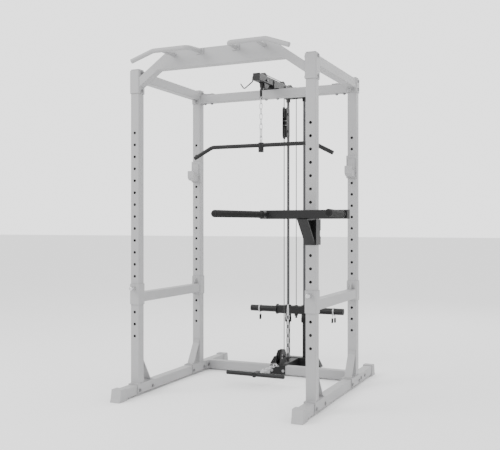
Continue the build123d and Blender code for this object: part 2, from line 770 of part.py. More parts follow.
lug = lug - across_x(-plate, plate, anchor_y, lug_hole_z, chain_wire + 4)
for side in (-1, 1):
    seat = standing(side * rod_x, strand_stack, rail_top - 5, rail_top + 10, rod_d + 0.4)
    cross_foot = cross_foot - seat
    rod_plate = rod_plate - seat
add("tower_base", cross_foot, *toes, spine, drilled(spine_plate), rod_plate, lug)
for x in (-toe_x, 0, toe_x):
    pad = Pos(x, strand_stack, foot_height / 2) * Box(46, 56, foot_height)
    feet.append(fillet(pad.edges().filter_by(Axis.Z), 8))
add("rubber_feet", *feet)

bumper_top = carriage_z - 55
tube_top = bumper_top - 38
rods = []
spacer_tubes = []
bumpers = []
for side in (-1, 1):
    x = side * rod_x
    rods.append(standing(x, strand_stack, rail_top - wall, rod_top, rod_d))
    spacer_tubes.append(standing(x, strand_stack, rod_plate_top, tube_top, 28, rod_d + 0.6))
    pad = standing(x, strand_stack, tube_top, bumper_top, 49)
    pad = fillet(pad.edges().filter_by(GeomType.CIRCLE), 4)
    bumpers.append(pad - standing(x, strand_stack, tube_top - 1, bumper_top + 1, rod_d + 0.6))
add("guide_rods", *rods)
add("rod_spacers", *spacer_tubes)
add("stack_bumpers", *bumpers)

beam_reach = carriage_half - 8
carriage = level_tube(beam_reach, strand_stack, carriage_z, 52, 60, 3)
bush_d = 36.0
bush_flange_d = 46.0
cap_x = sleeve_tip - 1                 # end of the steel sleeve
bush_foot = bumper_top + 0.3
bushes = []
sleeve_caps = []
for side in (-1, 1):
    x = side * rod_x
    disc = across_x(side * beam_reach, side * carriage_half, strand_stack, carriage_z, 78)
    sleeve_tube = across_x(
        side * carriage_half, side * cap_x, strand_stack, carriage_z, sleeve_d - 2, sleeve_d - 10
    )
    carriage = carriage + disc + sleeve_tube
    carriage = carriage - standing(x, strand_stack, carriage_z - 40, carriage_z + 40, bush_d)
    bush = standing(x, strand_stack, bush_foot, carriage_top, bush_d)
    bush = bush + standing(x, strand_stack, carriage_z + 30, carriage_top, bush_flange_d)
    bush = bush + standing(x, strand_stack, bush_foot, carriage_z - 30, bush_flange_d)
    bore = standing(x, strand_stack, bumper_top - 1, carriage_top + 4, rod_d + 0.2)
    bushes.append(bush - bore)
    lid = across_x(side * cap_x, side * (sleeve_tip + 4), strand_stack, carriage_z, sleeve_d - 2)
    plug = across_x(side * (cap_x - 19), side * cap_x, strand_stack, carriage_z, sleeve_d - 11)
    sleeve_caps.append(lid + plug)
add("carriage_bushes", *bushes)
add("plate_sleeve_caps", *sleeve_caps)
eye_bolt = standing(0, strand_stack, carriage_z - 62, carriage_top, 16)
eye_bolt = eye_bolt + standing(0, strand_stack, carriage_z - 44, carriage_z - 29, 28)
eye_bolt = eye_bolt + standing(0, strand_stack, carriage_z + 29, carriage_z + 34, 28)
add("weight_carriage", carriage + eye_bolt)

collar_x = 290.0                       # first coil of each spring collar
coil_pitch = 5.5
coil_wire = 4.8
coil_r = sleeve_d / 2 + 2.5
leg_lean = 12.0
leg_top = carriage_z - sleeve_d / 2 - 2
for side, name in ((-1, "left"), (1, "right")):
    spring = None
    for turn in range(3):
        centre = (side * (collar_x + coil_pitch * turn), strand_stack, carriage_z)
        coil = Plane(origin=centre, z_dir=(1, 0, 0)).location * Torus(coil_r, coil_wire / 2)
        spring = coil if spring is None else spring + coil
    grips = []
    for turn, lean in ((0, -leg_lean), (2, leg_lean)):
        x = side * (collar_x + coil_pitch * turn)
        leg = ((x, strand_stack + lean / 2, leg_top), (x, strand_stack + lean, leg_top - 20))
        spring = spring + cylinder(*leg, coil_wire - 0.2)
        pad = Pos(x, strand_stack + lean * 1.25, leg_top - 39) * Box(10.5, 20, 34)
        grips.append(fillet(pad.edges().filter_by(Axis.Z), 4))
    add(name + "_collar_spring", spring)
    add(name + "_collar_grips", *grips)

# ---- low pulley, its cable and the row bar ----
low_z = low_cable_z + low_pulley_r
low_pulley_y = strand_block - low_pulley_r
add("low_pulley", sheave(low_pulley_y, low_z, low_pulley_r))
cheek_top = low_z + low_pulley_r + 2
low_gap = wheel_width / 2 + 3
housing = block_of(-57, 57, low_housing_front, cross_y - half, foot_height, rail_top + 4)
housing = housing + block_of(-57, 57, low_housing_front, cross_y + half, rail_top, rail_top + 4)
for side in (-1, 1):
    cheek = [
        (low_housing_front, rail_top + 4),
        (low_housing_front + 26, low_z + 24),
        (low_pulley_y - 34, cheek_top),
        (low_pulley_y + 22, cheek_top),
        (low_pulley_y + 44, low_z + 6),
        (low_pulley_y + 44, rail_top + 4),
    ]
    housing = housing + prism_x(cheek, side * low_gap, side * (low_gap + 5))
    axle_hole = across_x(side * (low_gap - 1), side * tube, low_pulley_y, low_z, axle_d + 0.6)
    housing = housing - axle_hole
for side in (-1, 1):
    for z in (low_z - 6, low_z + 16):
        fasten((side * (low_gap + 5), low_housing_front + 38, z), (-side, 0, 0), 5.0, 6.0, False)
cable_slot = (low_housing_front - 1, cross_y + half + 1)
housing = housing - block_of(-12, 12, *cable_slot, rail_top - 8, rail_top + 5)
add("low_pulley_housing", drilled(housing))
axle(low_pulley_y, low_z, 2 * (low_gap + 5), 2 * low_gap)
add("pulley_axles", *axles, *spacers)

turn_low = CenterArc((low_pulley_y, low_z), low_pulley_r, 270, 90)
cable_runs.append(cable_along([turn_low]))
add("cable_runs", *cable_runs)
strand_up = standing(0, strand_block, low_z, block_lower_z, cable_d)
row_snap_y = cross_y - half - plate - 12
row_strand = cylinder((0, row_snap_y, low_cable_z), (0, low_pulley_y, low_cable_z), cable_d)
add("strand_to_row_bar", row_strand)

forward = Vector(0, -1, 0)
collar = cylinder((0, row_snap_y - 9, low_cable_z), (0, row_snap_y, low_cable_z), 14)
snap_start = row_snap_y - 11
snap = hanging_loop((0, snap_start, low_cable_z), forward, (0, 0, 1), snap_inner, 28, snap_wire)
row_start = snap_start - snap_inner
row_end = row_start - row_links * chain_pitch
links = chain((0, row_start, low_cable_z), forward, row_links)
add("row_chain", *links, snap + collar)
hub_back = row_end - eye_inner - 14
low_bar_y = hub_back + 19 - hub_length
row_hub = cylinder((0, low_bar_y - 19, low_cable_z), (0, hub_back, low_cable_z), hub_d - 1)
row_hub = fillet(row_hub.edges().filter_by(GeomType.CIRCLE), 3)
row_stub = cylinder((0, hub_back - 1, low_cable_z), (0, row_end - eye_inner + 1, low_cable_z), 16)
row_eye = hanging_loop((0, row_end, low_cable_z), forward, (0, 0, 1), eye_inner, 20, 6)
row_bar = across_x(-low_bar_half, low_bar_half, low_bar_y, low_cable_z, lat_bar_d)
row_bar = fillet(row_bar.edges().filter_by(GeomType.CIRCLE), 4)
add("row_bar", row_bar + row_hub + row_stub + row_eye)

ferrule_top = anchor_hook_top + 26
ferrule = standing(0, anchor_y, anchor_hook_top + 2, ferrule_top, 12)
strand_down = standing(0, anchor_y, ferrule_top, block_lower_z, cable_d)
add("strands_under_block", strand_up, strand_down)
snap = hanging_loop((0, anchor_y, anchor_hook_top), down, (0, 1, 0), snap_inner, 30, snap_wire)
links = chain((0, anchor_y, anchor_hook_top - snap_inner), down, anchor_links)
add("anchor_chain", *links, snap + ferrule)

# ---- dip station on the front right upright ----
dip_bottom = dip_z - boom / 2
dip_sleeve_top = dip_bottom
dip_sleeve_bottom = dip_z - 171
clear = 1.0
x = upright_x
inside = half + clear
wide = inside + plate
web_face = front_face - clear - plate
shoe_back = front_y + half + 14
past = shoe_back + 16
shoe = block_of(x - wide, x + wide, web_face, shoe_back, dip_sleeve_bottom, dip_sleeve_top)
shoe = shoe - block_of(
    x - inside, x + inside, front_face - clear, past, dip_sleeve_bottom - 1, dip_sleeve_top + 1
)
notch = (dip_sleeve_bottom + 48, dip_sleeve_bottom + 82)
shoe = shoe - block_of(x + half, x + wide + 1, shoe_back - 10, past, *notch)
ledge = block_of(x - half, x + half, dip_beam_y - boom / 2 - 8, web_face, dip_bottom - 6, dip_bottom)
brace = [
    (dip_beam_y - boom / 2 - 4, dip_bottom - 6),
    (dip_beam_y - boom / 2 + 4, dip_bottom - 6),
    (web_face, dip_sleeve_bottom + 12),
    (web_face, dip_sleeve_bottom),
]
brace = prism_x(brace, x - half, x + half)
rib = [
    (dip_beam_y + 10, dip_bottom - 6),
    (web_face, dip_bottom - 6),
    (web_face, dip_sleeve_bottom + 60),
]
dip_holes = []
for number in (7, 8):
    z = lowest_hole + (hole_count - 1 - number) * hole_pitch
    if dip_sleeve_bottom + 12 < z < dip_sleeve_top - 12:
        dip_holes.append(z)
pegs = None
for z in dip_holes:
    peg = cylinder((x, web_face + 1, z), (x, front_face + 22, z), hole_d - 2)
    pegs = peg if pegs is None else pegs + peg
add("dip_bracket", shoe + ledge + brace + prism_x(rib, x - 3, x + 3) + pegs)

dip_beam = level_tube(dip_beam_half, dip_beam_y, dip_z, boom, boom, boom_wall, x)
core_tubes = []
dip_grips = []
root_y = dip_beam_y - boom / 2
socket_length = 40.0
handle_x = dip_beam_half - 28          # middle of the beam to the root of a handle
for side in (-1, 1):
    lean = math.radians(dip_splay)
    way = Vector(side * math.sin(lean), -math.cos(lean), 0)
    root = Vector(x + side * handle_x, root_y + 6, dip_z)
    mouth = root + way * (socket_length + 6)
    tip = root + way * dip_handle_length
    socket = cylinder(root, mouth, dip_grip_d + 7, dip_grip_d - 7)
    inside_beam = block_of(root.X - tube, root.X + tube, root_y, root_y + 40, dip_z - 40, dip_z + 40)
    dip_beam = dip_beam + (socket - inside_beam)
    core_tubes.append(cylinder(root + way * 8, tip - way * 3, dip_grip_d - 7.4))
    grip = cylinder(mouth + way * 0.5, tip, dip_grip_d, dip_grip_d - 7.4)
    lid = cylinder(tip - way * 3, tip, dip_grip_d - 7.4)
    dip_grips.append(grip + lid)
for core in core_tubes:
    dip_beam = dip_beam + core
add("dip_beam", dip_beam)
add("dip_grips", *dip_grips)
dip_faces = (dip_beam_y - boom / 2, dip_beam_y + boom / 2)
for side in (-1, 1):
    end = x + side * dip_beam_half
    black_caps.append(block_of(end, end + side * 3, *dip_faces, dip_bottom, dip_bottom + boom))
add("black_end_caps", *black_caps)

# ---- fasteners ----
add("frame_bolts_and_nuts", *bolts, *nuts)

# ---- put the origin under the middle of the whole, and write every piece ----
lean = math.radians(dip_splay)
left_edge = -(outer_x + sleeve_wall + 8)
right_edge = upright_x + handle_x + dip_handle_length * math.sin(lean) + dip_grip_d / 2
front_edge = root_y - dip_handle_length * math.cos(lean) + 3
back_edge = boom_back + 3
shift = Pos(-(left_edge + right_edge) / 2, -(front_edge + back_edge) / 2, 0)
os.makedirs("parts", exist_ok=True)
for name, solids in nodes.items():
    export_step(shift * Compound(children=solids), f"parts/{name}.step")
print(len(nodes), "pieces; origin moved by", shift.position)
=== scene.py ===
import bpy
import json
import math
import numpy as np
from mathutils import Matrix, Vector


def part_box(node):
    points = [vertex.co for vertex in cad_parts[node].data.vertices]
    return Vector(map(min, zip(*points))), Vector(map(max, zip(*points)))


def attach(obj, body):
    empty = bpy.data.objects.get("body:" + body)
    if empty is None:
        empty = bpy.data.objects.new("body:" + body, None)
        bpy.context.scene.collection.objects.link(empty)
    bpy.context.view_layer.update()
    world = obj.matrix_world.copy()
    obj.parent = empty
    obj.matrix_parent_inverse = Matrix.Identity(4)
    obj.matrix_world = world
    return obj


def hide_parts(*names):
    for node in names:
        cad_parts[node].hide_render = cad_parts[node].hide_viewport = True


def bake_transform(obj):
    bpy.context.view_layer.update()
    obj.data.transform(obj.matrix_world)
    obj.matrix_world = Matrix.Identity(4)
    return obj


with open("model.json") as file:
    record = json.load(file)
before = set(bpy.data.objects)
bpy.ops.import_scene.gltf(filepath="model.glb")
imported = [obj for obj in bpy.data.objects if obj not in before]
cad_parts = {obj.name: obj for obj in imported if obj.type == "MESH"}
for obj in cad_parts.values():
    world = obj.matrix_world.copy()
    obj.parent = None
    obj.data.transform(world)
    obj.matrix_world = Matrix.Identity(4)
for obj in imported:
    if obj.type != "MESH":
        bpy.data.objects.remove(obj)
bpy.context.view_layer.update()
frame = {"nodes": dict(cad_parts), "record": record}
print("frame loaded:", len(frame["nodes"]), "nodes")


# places read from the frame
def boxOf(node):
    low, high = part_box(node)
    return np.array(low, float), np.array(high, float)


postLow, postHigh = boxOf("uprights")
postMiddle = (postLow + postHigh) / 2
nodeBody = {n: b for b, ns in frame["record"]["behaviour"]["bodies"].items() for n in ns}


# a surface is a grid of rows along the piece and columns round it, closed round, with its UVs:
# U runs round the piece and V along it, both from 0 to 1
def gridMesh(name, grid, closeEnds=True):
    rows, cols = grid.shape[:2]
    verts = grid.reshape(-1, 3)
    row = np.arange(rows - 1)[:, None]
    col = np.arange(cols)[None, :]
    nextCol = (col + 1) % cols
    here, there = row * cols, (row + 1) * cols
    quads = np.stack([here + col, here + nextCol, there + nextCol, there + col], -1).reshape(-1, 4)
    corners = [(col, row), (col + 1, row), (col + 1, row + 1), (col, row + 1)]
    corners = [np.stack(np.broadcast_arrays(c / cols, r / rows), -1) for c, r in corners]
    uv = np.stack(corners, 2).reshape(-1, 2)
    faces = quads.tolist()
    if closeEnds:
        faces.append(list(range(cols))[::-1])
        faces.append(list(range((rows - 1) * cols, rows * cols)))
        uv = np.vstack([uv, np.zeros((2 * cols, 2))])
    mesh = bpy.data.meshes.new(name)
    mesh.from_pydata(verts.tolist(), [], faces)
    layer = mesh.uv_layers.new(name="around")
    layer.data.foreach_set("uv", uv.astype(np.float32).ravel())
    mesh.polygons.foreach_set("use_smooth", np.ones(len(faces), bool))
    mesh.update()
    return mesh


def putPiece(name, meshes, material, body=None):
    whole = meshes[0]
    if len(meshes) > 1:
        whole = joinMeshes(name, meshes)
    piece = bpy.data.objects.new(name, whole)
    bpy.context.collection.objects.link(piece)
    whole.materials.clear()
    whole.materials.append(material)
    if body:
        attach(piece, body)
    return piece


# several closed surfaces in one mesh, their vertices numbered on from one another
def joinMeshes(name, meshes):
    verts, faces, uvs, first = [], [], [], 0
    for mesh in meshes:
        flat = np.empty(len(mesh.vertices) * 3)
        mesh.vertices.foreach_get("co", flat)
        verts.append(flat.reshape(-1, 3))
        faces += [[v + first for v in p.vertices] for p in mesh.polygons]
        around = np.empty(len(mesh.loops) * 2)
        mesh.uv_layers[0].data.foreach_get("uv", around)
        uvs.append(around)
        first += len(mesh.vertices)
    whole = bpy.data.meshes.new(name)
    whole.from_pydata(np.vstack(verts).tolist(), [], faces)
    whole.uv_layers.new(name="around").data.foreach_set("uv", np.concatenate(uvs).astype(np.float32))
    whole.polygons.foreach_set("use_smooth", np.ones(len(faces), bool))
    whole.update()
    return whole


# tube: centre line point + radius * (cos a * side + sin a * up), side and up square to the line
def tubeGrid(path, radius, around=14, side=(1.0, 0.0, 0.0)):
    path = np.asarray(path, float)
    tangent = np.gradient(path, axis=0)
    tangent /= np.linalg.norm(tangent, axis=1)[:, None]
    up = np.cross(tangent, np.asarray(side, float)[None, :])
    up /= np.linalg.norm(up, axis=1)[:, None]
    across = np.cross(up, tangent)
    angle = np.linspace(0, 2 * np.pi, around, endpoint=False)
    reach = np.broadcast_to(np.asarray(radius, float), (len(path),))[:, None, None]
    ring = np.cos(angle)[None, :, None] * across[:, None] + np.sin(angle)[None, :, None] * up[:, None]
    return path[:, None] + reach * ring


# points evenly along a line from start to end
def straight(start, end, count):
    step = np.linspace(0, 1, count)[:, None]
    return np.asarray(start, float) * (1 - step) + np.asarray(end, float) * step


# arc in the Y-Z plane: centre + radius * (cos t, sin t), t in degrees from start to end
def arc(x, y, z, radius, start, end, count):
    t = np.radians(np.linspace(start, end, count))
    return np.stack([x + 0 * t, y + radius * np.cos(t), z + radius * np.sin(t)], 1)


# shader groups
def newGroup(name, inputs, outputs):
    group = bpy.data.node_groups.new(name, "ShaderNodeTree")
    for label, kind, value in inputs:
        socket = group.interface.new_socket(label, in_out="INPUT", socket_type=kind)
        socket.default_value = value
    for label, kind in outputs:
        group.interface.new_socket(label, in_out="OUTPUT", socket_type=kind)
    return group, group.nodes.new("NodeGroupInput"), group.nodes.new("NodeGroupOutput")


def mathNode(tree, operation, a, b=None, clamp=False):
    node = tree.nodes.new("ShaderNodeMath")
    node.operation = operation
    node.use_clamp = clamp
    for place, value in ((0, a), (1, b)):
        if value is None:
            continue
        if isinstance(value, (int, float)):
            node.inputs[place].default_value = value
        else:
            tree.links.new(value, node.inputs[place])
    return node.outputs[0]


def noiseNode(tree, vector, scale, detail=3.0, rough=0.5):
    node = tree.nodes.new("ShaderNodeTexNoise")
    node.inputs["Detail"].default_value = detail
    node.inputs["Roughness"].default_value = rough
    tree.links.new(vector, node.inputs["Vector"])
    if isinstance(scale, (int, float)):
        node.inputs["Scale"].default_value = scale
    else:
        tree.links.new(scale, node.inputs["Scale"])
    return node.outputs["Fac"]


edgeLook = {"samples": 4, "gain": 4.0}


# softEdges: the normal of edges rounded by Radius, and where those edges are
def makeSoftEdges():
    group, source, sink = newGroup(
        "softEdges",
        [("Radius", "NodeSocketFloat", 0.0015)],
        [("Normal", "NodeSocketVector"), ("Edge", "NodeSocketFloat")],
    )
    bevel = group.nodes.new("ShaderNodeBevel")
    bevel.samples = edgeLook["samples"]
    group.links.new(source.outputs["Radius"], bevel.inputs["Radius"])
    flat = group.nodes.new("ShaderNodeNewGeometry")
    dot = group.nodes.new("ShaderNodeVectorMath")
    dot.operation = "DOT_PRODUCT"
    group.links.new(bevel.outputs[0], dot.inputs[0])
    group.links.new(flat.outputs["Normal"], dot.inputs[1])
    turned = mathNode(group, "SUBTRACT", 1.0, dot.outputs["Value"])
    group.links.new(bevel.outputs[0], sink.inputs["Normal"])
    group.links.new(mathNode(group, "MULTIPLY", turned, edgeLook["gain"], True), sink.inputs["Edge"])
    return group


scuffLook = {"scale": 60.0, "detail": 6.0, "rough": 0.7, "stretch": 0.25, "above": 0.62, "gain": 8.0}


# coatGrain: fine pebbled height, slow cloudy patches, and small scuffs
def makeCoatGrain():
    group, source, sink = newGroup(
        "coatGrain",
        [("Grain Scale", "NodeSocketFloat", 900.0), ("Patch Scale", "NodeSocketFloat", 5.0)],
        [("Height", "NodeSocketFloat"), ("Patch", "NodeSocketFloat"), ("Scuff", "NodeSocketFloat")],
    )
    place = group.nodes.new("ShaderNodeTexCoord").outputs["Object"]
    group.links.new(noiseNode(group, place, source.outputs["Grain Scale"], 2.0), sink.inputs["Height"])
    group.links.new(noiseNode(group, place, source.outputs["Patch Scale"], 4.0), sink.inputs["Patch"])
    stretch = group.nodes.new("ShaderNodeMapping")
    stretch.inputs["Scale"].default_value = (1.0, 1.0, scuffLook["stretch"])
    group.links.new(place, stretch.inputs["Vector"])
    scale, detail, rough = (scuffLook[k] for k in ("scale", "detail", "rough"))
    marks = noiseNode(group, stretch.outputs[0], scale, detail, rough)
    sharp = mathNode(group, "SUBTRACT", marks, scuffLook["above"])
    group.links.new(mathNode(group, "MULTIPLY", sharp, scuffLook["gain"], True), sink.inputs["Scuff"])
    return group


dustLook = {"scale": 14.0, "detail": 5.0, "rough": 0.6}


# settledDust: strongest on faces that look up, broken by slow noise
def makeDust():
    group, source, sink = newGroup(
        "settledDust", [("Amount", "NodeSocketFloat", 0.3)], [("Dust", "NodeSocketFloat")]
    )
    facing = group.nodes.new("ShaderNodeNewGeometry")
    parts = group.nodes.new("ShaderNodeSeparateXYZ")
    group.links.new(facing.outputs["Normal"], parts.inputs[0])
    upward = mathNode(group, "MAXIMUM", parts.outputs["Z"], 0.0)
    place = group.nodes.new("ShaderNodeTexCoord").outputs["Object"]
    cloud = noiseNode(group, place, dustLook["scale"], dustLook["detail"], dustLook["rough"])
    both = mathNode(group, "MULTIPLY", upward, cloud)
    settled = mathNode(group, "MULTIPLY", both, source.outputs["Amount"], True)
    group.links.new(settled, sink.inputs["Dust"])
    return group


# laidStrands: height of wires laid in a helix along a cable's own UV
def makeLaidStrands():
    group, source, sink = newGroup(
        "laidStrands",
        [("Strands", "NodeSocketFloat", 6.0), ("Turns", "NodeSocketFloat", 40.0)],
        [("Height", "NodeSocketFloat")],
    )
    uvMap = group.nodes.new("ShaderNodeUVMap")
    uvMap.uv_map = "around"
    parts = group.nodes.new("ShaderNodeSeparateXYZ")
    group.links.new(uvMap.outputs[0], parts.inputs[0])
    aroundIt = mathNode(group, "MULTIPLY", parts.outputs["X"], source.outputs["Strands"])
    along = mathNode(group, "MULTIPLY", parts.outputs["Y"], source.outputs["Turns"])
    phase = mathNode(group, "MULTIPLY", mathNode(group, "ADD", aroundIt, along), 2 * math.pi)
    wave = mathNode(group, "SINE", phase)
    group.links.new(mathNode(group, "ABSOLUTE", wave), sink.inputs["Height"])
    return group


groups = {
    "edges": makeSoftEdges(),
    "grain": makeCoatGrain(),
    "dust": makeDust(),
    "strands": makeLaidStrands(),
}


def useGroup(tree, name, values):
    node = tree.nodes.new("ShaderNodeGroup")
    node.node_tree = groups[name]
    for label, value in values.items():
        node.inputs[label].default_value = value
    return node


def mixColour(tree, factor, a, b):
    node = tree.nodes.new("ShaderNodeMix")
    node.data_type = "RGBA"
    tree.links.new(factor, node.inputs["Factor"])
    for label, value in (("A", a), ("B", b)):
        socket = next(s for s in node.inputs if s.name == label and s.type == "RGBA")
        if isinstance(value, tuple):
            socket.default_value = (*value, 1.0)
        else:
            tree.links.new(value, socket)
    return next(s for s in node.outputs if s.type == "RGBA")


def spread(tree, value, low, high):
    node = tree.nodes.new("ShaderNodeMapRange")
    tree.links.new(value, node.inputs["Value"])
    node.inputs["To Min"].default_value = low
    node.inputs["To Max"].default_value = high
    return node.outputs[0]


# a finish: two close colours in patches, scuffs, dust on top, rubbed edges and a pebbled bump
def makeFinish(name, look):
    material = bpy.data.materials.new(name)
    material.use_nodes = True
    tree = material.node_tree
    shader = tree.nodes["Principled BSDF"]
    scales = {"Grain Scale": look["grainScale"], "Patch Scale": look["patchScale"]}
    grain = useGroup(tree, "grain", scales)
    edges = useGroup(tree, "edges", {"Radius": look["edgeRadius"]})
    dust = useGroup(tree, "dust", {"Amount": look["dust"]})
    colour = mixColour(tree, grain.outputs["Patch"], look["colour"], look["shade"])
    rub = mathNode(tree, "MULTIPLY", edges.outputs["Edge"], look["edgeWear"], True)
    colour = mixColour(tree, rub, colour, look["worn"])
    mark = mathNode(tree, "MULTIPLY", grain.outputs["Scuff"], look["scuff"], True)
    colour = mixColour(tree, mark, colour, look["worn"])
    colour = mixColour(tree, dust.outputs["Dust"], colour, look["dustColour"])
    tree.links.new(colour, shader.inputs["Base Color"])
    rough = spread(tree, grain.outputs["Patch"], look["rough"][0], look["rough"][1])
    scuffed = mathNode(tree, "MULTIPLY", mark, look["scuffRough"])
    tree.links.new(mathNode(tree, "ADD", rough, scuffed, True), shader.inputs["Roughness"])
    shader.inputs["Metallic"].default_value = look["metal"]
    shader.inputs["Coat Weight"].default_value = look["coat"]
    shader.inputs["Specular IOR Level"].default_value = look["gloss"]
    bump = tree.nodes.new("ShaderNodeBump")
    bump.inputs["Strength"].default_value = look["bump"]
    bump.inputs["Distance"].default_value = look["depth"]
    height = grain.outputs["Height"]
    if "strands" in look:
        laid = useGroup(tree, "strands", {"Strands": look["strands"], "Turns": look["turns"]})
        height = laid.outputs["Height"]
    tree.links.new(height, bump.inputs["Height"])
    tree.links.new(edges.outputs["Normal"], bump.inputs["Normal"])
    tree.links.new(bump.outputs[0], shader.inputs["Normal"])
    return material


# finishes: lengths in metres, colours and weights from 0 to 1
plain = dict(grainScale=900.0, patchScale=4.0, edgeRadius=0.0014, dust=0.1, edgeWear=0.2, scuff=0.04,
             scuffRough=0.2, metal=0.0, coat=0.0, gloss=0.4, bump=0.25, depth=0.0004,
             dustColour=(0.7, 0.69, 0.67))
palePaint = dict(plain, colour=(0.35, 0.35, 0.355), shade=(0.315, 0.315, 0.32), worn=(0.45, 0.45, 0.45),
                 rough=(0.42, 0.55))
palePlastic = dict(plain, colour=(0.37, 0.37, 0.375), shade=(0.33, 0.33, 0.335),
                   worn=(0.45, 0.45, 0.45), rough=(0.6, 0.75), grainScale=1500.0, bump=0.4)
blackPaint = dict(plain, colour=(0.006, 0.006, 0.0065), shade=(0.01, 0.01, 0.0105),
                  worn=(0.085, 0.085, 0.088), rough=(0.36, 0.5), bump=0.45, dust=0.03, edgeWear=0.35,
                  gloss=0.3)
blackPlastic = dict(plain, colour=(0.005, 0.005, 0.005), shade=(0.009, 0.009, 0.009),
                    worn=(0.06, 0.06, 0.06), rough=(0.5, 0.62), grainScale=1800.0, dust=0.03,
                    gloss=0.3)
blackRubber = dict(plain, colour=(0.005, 0.005, 0.005), shade=(0.009, 0.009, 0.009),
                   worn=(0.05, 0.05, 0.05), rough=(0.72, 0.86), grainScale=700.0, bump=0.8, dust=0.03,
                   gloss=0.25)
brightSteel = dict(plain, colour=(0.66, 0.66, 0.67), shade=(0.52, 0.52, 0.53), worn=(0.8, 0.8, 0.8),
                   rough=(0.2, 0.36), metal=1.0, bump=0.15, dust=0.0, edgeRadius=0.0006)
darkSteel = dict(plain, colour=(0.09, 0.09, 0.095), shade=(0.06, 0.06, 0.062), worn=(0.3, 0.3, 0.3),
                 rough=(0.24, 0.38), metal=0.9, bump=0.2, dust=0.0, edgeRadius=0.0008)
cableSheath = dict(plain, colour=(0.02, 0.02, 0.02), shade=(0.03, 0.03, 0.03), worn=(0.1, 0.1, 0.1),
                   rough=(0.3, 0.42), bump=0.7, depth=0.0008, coat=0.2, dust=0.0,
                   strands=6.0, turns=90.0)
paleZinc = dict(brightSteel, colour=(0.3, 0.3, 0.305), shade=(0.24, 0.24, 0.245), worn=(0.5, 0.5, 0.5),
                rough=(0.34, 0.5), metal=0.6)
weldMetal = dict(palePaint, colour=(0.41, 0.41, 0.415), bump=0.6, grainScale=500.0)

finishes = {
    "pale_paint": makeFinish("palePowderCoat", palePaint),
    "hook_paint": makeFinish("paleHookCoat", palePaint),
    "pale_plastic": makeFinish("paleMouldedPlastic", palePlastic),
    "black_paint": makeFinish("blackPowderCoat", blackPaint),
    "black_plastic": makeFinish("blackNylon", blackPlastic),
    "rubber": makeFinish("blackRubber", blackRubber),
    "bright_steel": makeFinish("zincPlate", brightSteel),
    "dark_steel": makeFinish("oiledSteel", darkSteel),
    "cable_sheath": makeFinish("cableSheath", cableSheath),
}
weldFinish = makeFinish("paintedWeld", weldMetal)
boltFinish = makeFinish("paleZinc", paleZinc)
slotOf = {part["node"]: part["material_slot"] for part in frame["record"]["subparts"]}
for node, part in frame["nodes"].items():
    for place in part.material_slots:
        place.material = boltFinish if node == "frame_bolts_and_nuts" else finishes[slotOf[node]]
print("finishes made:", len(finishes))


# cables: strands that stretch between bodies, and the turns round the wheels
cable = {"radius": 0.003, "rim": 0.006, "around": 12, "rowsPerMetre": 90, "fewestRows": 24,
         "quarterRows": 20, "levelRows": 30, "lowRows": 24, "halfRows": 36}


# a wheel's centre and the radius of the cable's own line on it
def wheel(node):
    low, high = boxOf(node)
    centre = (low + high) / 2
    return centre, (high[2] - low[2]) / 2 - cable["rim"]


def rope(name, paths, body=None):
    meshes = [gridMesh(name, tubeGrid(p, cable["radius"], cable["around"])) for p in paths]
    piece = putPiece(name, meshes, finishes["cable_sheath"], body)
    return piece


# strands run from their fixed end to the end that the moving body carries
def strand(node, lines):
    paths = []
    for fixed, free in lines:
        count = int(cable["rowsPerMetre"] * np.linalg.norm(free - fixed))
        paths.append(straight(fixed, free, max(cable["fewestRows"], count)))
    piece = rope(node + "Rope", paths)
    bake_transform(piece)
    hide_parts(node)


frontWheel, frontR = wheel("front_top_pulley")
secondWheel, secondR = wheel("second_top_pulley")
thirdWheel, thirdR = wheel("third_top_pulley")
rearWheel, rearR = wheel("rear_top_pulley")
upperWheel, upperR = wheel("block_upper_pulley")
lowerWheel, lowerR = wheel("block_lower_pulley")
lowWheel, lowR = wheel("low_pulley")
middleX = frontWheel[0]


def at(y, z):
    return np.array([middleX, y, z])


# up over wheel a, level to wheel b and down behind it
def overTwo(a, aR, b, bR):
    first = arc(middleX, a[1], a[2], aR, 180, 90, cable["quarterRows"])
    level = straight(at(a[1], a[2] + aR), at(b[1], b[2] + bR), cable["levelRows"])[1:-1]
    last = arc(middleX, b[1], b[2], bR, 90, 0, cable["quarterRows"])
    return np.vstack([first, level, last])


topOfStop = boxOf("lat_cable_stop")[1][2]
topOfStack = boxOf("weight_carriage")[1][2]
anchorTop = boxOf("anchor_chain")[1][2]
rowHookBack = boxOf("row_chain")[1][1]
strand("strand_to_lat_bar",
       [(at(frontWheel[1] - frontR, frontWheel[2]), at(frontWheel[1] - frontR, topOfStop))])
strand("strand_to_carriage",
       [(at(rearWheel[1] + rearR, rearWheel[2]), at(rearWheel[1] + rearR, topOfStack))])
strand("strands_over_block",
       [(at(secondWheel[1] + secondR, secondWheel[2]), at(upperWheel[1] - upperR, upperWheel[2])),
        (at(thirdWheel[1] - thirdR, thirdWheel[2]), at(upperWheel[1] + upperR, upperWheel[2]))])
strand("strands_under_block",
       [(at(lowWheel[1] + lowR, lowWheel[2]), at(lowerWheel[1] - lowerR, lowerWheel[2])),
        (at(lowerWheel[1] + lowerR, anchorTop), at(lowerWheel[1] + lowerR, lowerWheel[2]))])
strand("strand_to_row_bar",
       [(at(lowWheel[1], lowWheel[2] - lowR), at(rowHookBack, lowWheel[2] - lowR))])
runs = rope("cableOverWheels", [
    overTwo(frontWheel, frontR, secondWheel, secondR),
    overTwo(thirdWheel, thirdR, rearWheel, rearR),
    arc(middleX, lowWheel[1], lowWheel[2], lowR, 270, 360, cable["lowRows"]),
], "root")
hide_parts("cable_runs")
